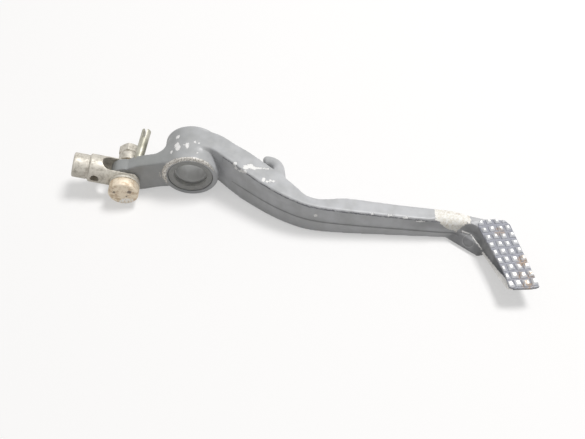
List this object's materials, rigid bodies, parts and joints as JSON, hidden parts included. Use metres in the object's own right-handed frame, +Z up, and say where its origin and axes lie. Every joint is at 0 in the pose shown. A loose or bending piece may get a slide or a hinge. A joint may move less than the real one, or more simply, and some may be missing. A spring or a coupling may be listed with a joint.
{
  "type": "motorcycle rear brake pedal",
  "caption": "Cast rear brake pedal with a bushed pivot hub, a cranked arm, a serrated toe pad, and a swivelling clevis fork for the master cylinder's push rod.",
  "frame": {"origin": "middle of the pivot bore, on its axis", "axes": "+Y along the pivot bore, towards the motorcycle's frame; +X forward along the arm, towards the toe pad; +Z up"},
  "size_m": [0.2205, 0.088, 0.0274],
  "materials": {
    "painted_aluminium": "silver-grey paint on cast aluminium, chipped to bright metal",
    "sintered_bush": "oiled steel",
    "seal_rubber": "dusty black rubber",
    "dull_steel": "dull grey steel",
    "plated_steel": "worn nickel plating",
    "zinc_steel": "yellow zinc with light rust"
  },
  "bodies": {
    "pedal": {"pedal_casting": "painted_aluminium", "pivot_bush": "sintered_bush", "outer_dust_seal": "seal_rubber", "inner_dust_seal": "seal_rubber", "spring_post": "dull_steel"},
    "fork": {"clevis_fork": "plated_steel", "clevis_pin": "zinc_steel", "pin_washer": "plated_steel", "pin_spacer": "plated_steel", "pin_nut": "plated_steel"}
  },
  "joints": [
    {"name": "fork_pivot", "type": "hinge", "parent": "pedal", "child": "fork", "pos_m": [-0.0326, -0.0059, -0.0043], "axis": [0, 1, 0], "range_deg": [-45, 45]}
  ]
}
